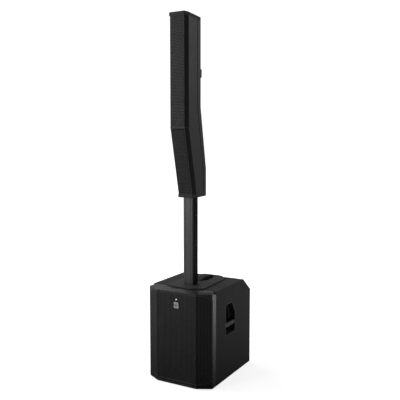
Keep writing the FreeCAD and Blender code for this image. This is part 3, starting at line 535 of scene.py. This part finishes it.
# ------------------------------------------------------------------ subwoofer grille
WIDE_MESH, FINE_MESH = (0.0075, 0.0029), (0.0072, 0.0028)  # hole pitch and hole radius
SHEET = 0.0012
RIM, FOLD = 0.004, 0.0012
STEEL_INSET, FOAM_INSET, FOAM_DEPTH, FOAM_MARGIN = 0.0007, 0.0022, 0.004, 0.0005
CORNER_RISE = 0.019
CORNER_RUN_MM = 32.0
BADGE_GAP, LED_GAP = 0.002, 0.003
X_AXIS, Y_AXIS, Z_AXIS = Vector((1, 0, 0)), Vector((0, 1, 0)), Vector((0, 0, 1))


def clear_of(node, gap):
    low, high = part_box(node)
    mid, half = (low + high) / 2, (high - low) / 2
    return mid[0], mid[2], half[0] + gap, half[2] + gap


FOLD_X = HALF - FACET_W
FACET_LONG = math.hypot(FACET_W, FACET_D)
corner_run = CORNER_RUN_MM * FACET_LONG / FACET_W / 1000.0
centre_poly = [(-FOLD_X, GRILLE_LOW), (FOLD_X, GRILLE_LOW), (FOLD_X, GRILLE_HIGH), (-FOLD_X, GRILLE_HIGH)]
facet_poly = [(0, GRILLE_LOW), (FACET_LONG - corner_run, GRILLE_LOW),
              (FACET_LONG, GRILLE_LOW + CORNER_RISE), (FACET_LONG, GRILLE_HIGH - CORNER_RISE),
              (FACET_LONG - corner_run, GRILLE_HIGH), (0, GRILLE_HIGH)]

steel = [perforated(centre_poly, Vector((0, FRONT + STEEL_INSET, 0)), X_AXIS, Z_AXIS, Y_AXIS,
                    WIDE_MESH, (RIM, FOLD, RIM, FOLD),
                    (clear_of("grille_badge", BADGE_GAP), clear_of("front_led", LED_GAP)), upright=True)]
foam_seats = [(centre_poly, Vector((0, FRONT + FOAM_INSET, 0)), X_AXIS, Y_AXIS)]
for s in (-1, 1):
    along_facet = Vector((s * FACET_W / FACET_LONG, FACET_D / FACET_LONG, 0))
    outward = Vector((s * FACET_D / FACET_LONG, -FACET_W / FACET_LONG, 0))
    fold = Vector((s * FOLD_X, FRONT, 0))
    v, f = perforated(facet_poly, fold - outward * STEEL_INSET, along_facet, Z_AXIS, -outward,
                      WIDE_MESH, [RIM] * 5 + [FOLD], upright=True)
    if s < 0:
        f = [tuple(reversed(q)) for q in f]
    steel.append((v, f))
    foam_seats.append((facet_poly, fold - outward * FOAM_INSET, along_facet, -outward))
v, f = merge(steel)
grille = mesh_object("sub_grille_mesh", v, f, "grille_steel", "subwoofer")
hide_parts("sub_grille")

pads = []
for poly, start, across_pad, inward in foam_seats:
    inner = ring_outline(poly, [FOAM_MARGIN] * len(poly))
    pads.append(sheet_prism(inner, lambda u, w: start + across_pad * u + Z_AXIS * w, inward, FOAM_DEPTH))
v, f = merge(pads)
mesh_object("sub_grille_foam", v, f, "foam", "subwoofer")

# ------------------------------------------------------------------ column grilles
BEND_GAP, CAP_GAP = 0.002, 0.0003
COLUMN_GRILLE_HALF = 0.0354
COLUMN_STEEL_INSET, COLUMN_FOAM_INSET, COLUMN_FOAM_DEPTH = 0.0004, 0.00165, 0.0003
COLUMN_RIM, COLUMN_FOAM_MARGIN = 0.0025, 0.0022
for name, z0, z1 in (("upper_grille", ARR_BEND + BEND_GAP, ARR_TOP - CAP - CAP_GAP),
                     ("lower_grille", ARR_BOT + CAP + CAP_GAP, ARR_BEND - BEND_GAP)):
    foot = Vector((0, arr_front(z0), z0))
    rise = Vector((0, arr_front(z1), z1)) - foot
    length = rise.length
    rise.normalize()
    inward = Vector((0, rise.z, -rise.y))
    poly = [(-COLUMN_GRILLE_HALF, 0), (COLUMN_GRILLE_HALF, 0),
            (COLUMN_GRILLE_HALF, length), (-COLUMN_GRILLE_HALF, length)]
    v, f = perforated(poly, foot + inward * COLUMN_STEEL_INSET, X_AXIS, rise, inward, FINE_MESH,
                      [COLUMN_RIM] * 4)
    ob = mesh_object(name + "_mesh", v, f, "grille_steel", "column")
    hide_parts(name)
    inner = ring_outline(poly, [COLUMN_FOAM_MARGIN] * 4)
    seat = foot + inward * COLUMN_FOAM_INSET
    v, f = sheet_prism(inner, lambda u, w: seat + X_AXIS * u + rise * w, inward, COLUMN_FOAM_DEPTH)
    mesh_object(name + "_foam", v, f, "foam", "column")

# ------------------------------------------------------------------ column seam, shell to rear cover
SEAM_BACK, SEAM_HALF, SEAM_LIFT, SEAM_ROOT = 0.034, 0.0013, 0.0006, -0.0005
SEAM_END = 0.001
COLUMN_HALF, COLUMN_FACET, COLUMN_TAPER = 0.044, 0.026, 0.012
SEAM_SECTION = ((-SEAM_HALF, SEAM_ROOT), (-SEAM_HALF, SEAM_LIFT), (SEAM_HALF, SEAM_LIFT),
                (SEAM_HALF, SEAM_ROOT))
for side, side_name in ((-1, "left"), (1, "right")):
    verts, faces = [], []
    for z in (ARR_BOT + CAP + SEAM_END, REAR_LOW, ARR_BEND, REAR_HIGH, ARR_TOP - CAP - SEAM_END):
        y0, y1 = arr_front(z) + COLUMN_FACET, arr_rear(z)
        for step, lift in SEAM_SECTION:
            y = y1 - SEAM_BACK + step
            verts.append((side * (COLUMN_HALF - COLUMN_TAPER * (y - y0) / (y1 - y0) + lift), y, z))
    for i in range(0, len(verts) - 4, 4):
        for j in range(4):
            faces.append((i + j, i + 4 + j, i + 4 + (j + 1) % 4, i + (j + 1) % 4))
    last = len(verts) - 1
    faces += [(0, 1, 2, 3), (last, last - 1, last - 2, last - 3)]
    if side < 0:
        faces = [q[::-1] for q in faces]
    mesh_object("column_seam_" + side_name, verts, faces, "gasket", "column")

# ------------------------------------------------------------------ marks on badge, panel and knobs
MARK_LIFT, MARK_ROOT = 0.00015, 0.0002
PANEL_FACE = 0.197
DOT_RING, DOT_SMALL, DOT_LARGE = 0.0115, 0.0006, 0.0009
SCALE_START, SCALE_STEP, SCALE_DOTS = -140, 28, 11
SCREEN_HALF, SCREEN_FOOT = 0.014, -0.0095
LEVEL_PITCH, LEVEL_WIDTH = 0.0036, 0.0026
LEVELS_MM = (6, 9, 12, 10, 14, 11, 8, 5)


def mark(cx, face, cz, outline, rear=True):
    turn = -1 if rear else 1
    return sheet_prism(outline, lambda u, v: Vector((cx + turn * u, face - turn * MARK_LIFT, cz + v)),
                       Vector((0, turn, 0)), MARK_LIFT + MARK_ROOT)


def bar(u0, u1, v0, v1):
    return [(u0, v0), (u1, v0), (u1, v1), (u0, v1)]


def middle(node):
    low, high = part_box(node)
    return (low + high) / 2


badge = middle("grille_badge")
strokes = [mark(badge.x, FRONT, badge.z, stroke, rear=False) for stroke in (
    bar(-0.0125, 0.0085, -0.0016, 0.0016), bar(-0.0015, 0.0015, -0.0105, -0.004),
    bar(-0.0015, 0.0015, 0.004, 0.0105))]
v, f = merge(strokes)
mesh_object("badge_bars", v, f, "gasket", "subwoofer")

dots = []
for i in range(1, 5):
    node = "level_knob_%d" % i
    knob = middle(node)
    for k in range(SCALE_DOTS):
        a = math.radians(SCALE_START + SCALE_STEP * k)
        r = DOT_LARGE if k % 5 == 0 else DOT_SMALL
        dots.append(mark(knob.x + DOT_RING * math.sin(a), PANEL_FACE, knob.z + DOT_RING * math.cos(a),
                         hexagon(r, 0)))
    v, f = mark(knob.x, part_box(node)[1][1], knob.z, bar(-0.0006, 0.0006, 0.0015, 0.0062))
    mesh_object("level_mark_%d" % i, v, f, "mark", "level_%d" % i)
v, f = merge(dots)
mesh_object("level_scales", v, f, "mark", "subwoofer")

window = middle("display_window")
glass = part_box("display_window")[1][1]
rows = [mark(window.x, glass, window.z, bar(-SCREEN_HALF, SCREEN_HALF, 0.0085, 0.0092))]
for k, height in enumerate(LEVELS_MM):
    u = -SCREEN_HALF + LEVEL_PITCH * k
    level_bar = bar(u, u + LEVEL_WIDTH, SCREEN_FOOT, SCREEN_FOOT + height / 1000)
    rows.append(mark(window.x, glass, window.z, level_bar))
v, f = merge(rows)
mesh_object("display_bars", v, f, "screen_lit", "subwoofer")

# ------------------------------------------------------------------ floor
# pale where it is seen; to the object it gives painted shadow, darker near the feet, and two painted
# pools of light
FLOOR_HALF = 30
POOLS = (((1.2, 1.55, 0.0), 0.64, 0.3, 1.95), ((-1.5, -1.0, 0.0), 0.35, 0.2, 1.3))
me = bpy.data.meshes.new("floor")
me.from_pydata([(-FLOOR_HALF, -FLOOR_HALF, 0), (FLOOR_HALF, -FLOOR_HALF, 0), (FLOOR_HALF, FLOOR_HALF, 0),
                (-FLOOR_HALF, FLOOR_HALF, 0)], [], [(0, 1, 2, 3)])
floor = bpy.data.objects.new("floor", me)
scene.collection.objects.link(floor)
pale = Nodes("floor_pale")


def floor_distance(operation, point=None):
    n = pale.t.nodes.new("ShaderNodeVectorMath")
    n.operation = operation
    if point:
        n.inputs[1].default_value = point
    pale.t.links.new(pale.coord, n.inputs[0])
    return n.outputs["Value"]


away = floor_distance("LENGTH")
pale.set("Base Color", pale.mix(pale.noise(3.0, 3.0), (0.80, 0.80, 0.80), (0.84, 0.84, 0.84)))
pale.set("Roughness", pale.span(pale.noise(40.0), 0.85, 0.95))
pale.set("Specular IOR Level", 0.1)
pale.set("Emission Color", (1.0, 1.0, 1.0))
pale.set("Emission Strength", pale.span(away, 0.79, 1.05, 0.8, 3.5))
dim = pale.t.nodes.new("ShaderNodeBsdfDiffuse")
# painted shadow: the floor's colour for the object goes from near black at the feet to pale further out
pale.t.links.new(pale.mix(pale.span(away, 0.0, 1.0, 0.25, 1.8), (0.02, 0.02, 0.02), (0.75, 0.75, 0.75)),
                 dim.inputs["Color"])
total = pale.t.nodes.new("ShaderNodeMath")
total.operation = "ADD"
# two painted pools of light on the floor, which light the object
for socket, (point, glow, near, far) in zip(total.inputs, POOLS):
    pale.t.links.new(pale.span(floor_distance("DISTANCE", point), glow, 0.0, near, far), socket)
pools = pale.t.nodes.new("ShaderNodeEmission")
pale.t.links.new(total.outputs["Value"], pools.inputs["Strength"])
both = pale.t.nodes.new("ShaderNodeAddShader")
pale.t.links.new(dim.outputs["BSDF"], both.inputs[0])
pale.t.links.new(pools.outputs["Emission"], both.inputs[1])
seen = pale.t.nodes.new("ShaderNodeLightPath")
pick = pale.t.nodes.new("ShaderNodeMixShader")
pale.t.links.new(seen.outputs["Is Camera Ray"], pick.inputs["Fac"])
pale.t.links.new(both.outputs["Shader"], pick.inputs[1])
pale.t.links.new(pale.b.outputs["BSDF"], pick.inputs[2])
pale.t.links.new(pick.outputs["Shader"], pale.t.nodes["Material Output"].inputs["Surface"])
me.materials.append(pale.m)


# ------------------------------------------------------------------ lights
def area(name, place, target_z, power, size, size_y=None):
    light = bpy.data.lights.new(name, "AREA")
    light.energy = power
    light.size = size
    if size_y:
        light.shape = "RECTANGLE"
        light.size_y = size_y
    ob = bpy.data.objects.new(name, light)
    scene.collection.objects.link(ob)
    ob.location = place
    ob.rotation_euler = (Vector((0, 0, target_z)) - Vector(place)).to_track_quat("-Z", "Y").to_euler()
    ob.visible_camera = False


area("key_left", (-2.8, -1.0, 2.4), 1.0, 45, 1.2, 2.0)
area("front_left", (-2.2, -3.9, 1.7), 0.9, 40, 1.3, 2.2)
area("top", (-1.9, 1.2, 2.6), 0.4, 8, 1.2)
area("right", (2.4, 2.4, 2.3), 1.3, 5, 1.2, 1.6)
area("right_low", (2.2, 0.4, 0.3), 0.2, 3.5, 0.8)
area("rear", (-0.8, 3.2, 0.5), 0.5, 10, 1.0, 0.6)

# ------------------------------------------------------------------ studio
# white where it is seen; what it gives the object is brightest behind right and left, darker below
SEEN_WHITE = 1.1
SIDE_MIRROR = (0.49, 0.87, 0.0)  # where the object's right side reflects the camera's line of sight
world = bpy.data.worlds.new("studio")
scene.world = world
world.use_nodes = True
wt = world.node_tree
direction = wt.nodes.new("ShaderNodeTexCoord").outputs["Generated"]


def facing(vector, low, high, lo, hi):
    dot = wt.nodes.new("ShaderNodeVectorMath")
    dot.operation = "DOT_PRODUCT"
    wt.links.new(direction, dot.inputs[0])
    dot.inputs[1].default_value = vector
    span = wt.nodes.new("ShaderNodeMapRange")
    span.interpolation_type = "SMOOTHSTEP"
    for name, value in (("From Min", lo), ("From Max", hi), ("To Min", low), ("To Max", high)):
        span.inputs[name].default_value = value
    wt.links.new(dot.outputs["Value"], span.inputs["Value"])
    return span.outputs["Result"]


def combine(a, b, how):
    n = wt.nodes.new("ShaderNodeMath")
    n.operation = how
    wt.links.new(a, n.inputs[0])
    wt.links.new(b, n.inputs[1])
    return n.outputs["Value"]


behind = facing(SIDE_MIRROR, 0.04, 0.5, 0.1, 1.0)
left = facing((-1.0, 0.0, 0.0), 0.0, 0.45, 0.1, 1.0)
height = facing((0.0, 0.0, 1.0), 0.05, 1.0, -0.2, 0.32)
given = wt.nodes["Background"]
given.inputs["Color"].default_value = (1, 1, 1, 1)
wt.links.new(combine(combine(behind, left, "ADD"), height, "MULTIPLY"), given.inputs["Strength"])
shown = wt.nodes.new("ShaderNodeBackground")
shown.inputs["Color"].default_value = (1, 1, 1, 1)
shown.inputs["Strength"].default_value = SEEN_WHITE
ray = wt.nodes.new("ShaderNodeLightPath")
choose = wt.nodes.new("ShaderNodeMixShader")
wt.links.new(ray.outputs["Is Camera Ray"], choose.inputs["Fac"])
wt.links.new(given.outputs["Background"], choose.inputs[1])
wt.links.new(shown.outputs["Background"], choose.inputs[2])
wt.links.new(choose.outputs["Shader"], wt.nodes["World Output"].inputs["Surface"])

# ------------------------------------------------------------------ finish
bpy.context.view_layer.update()
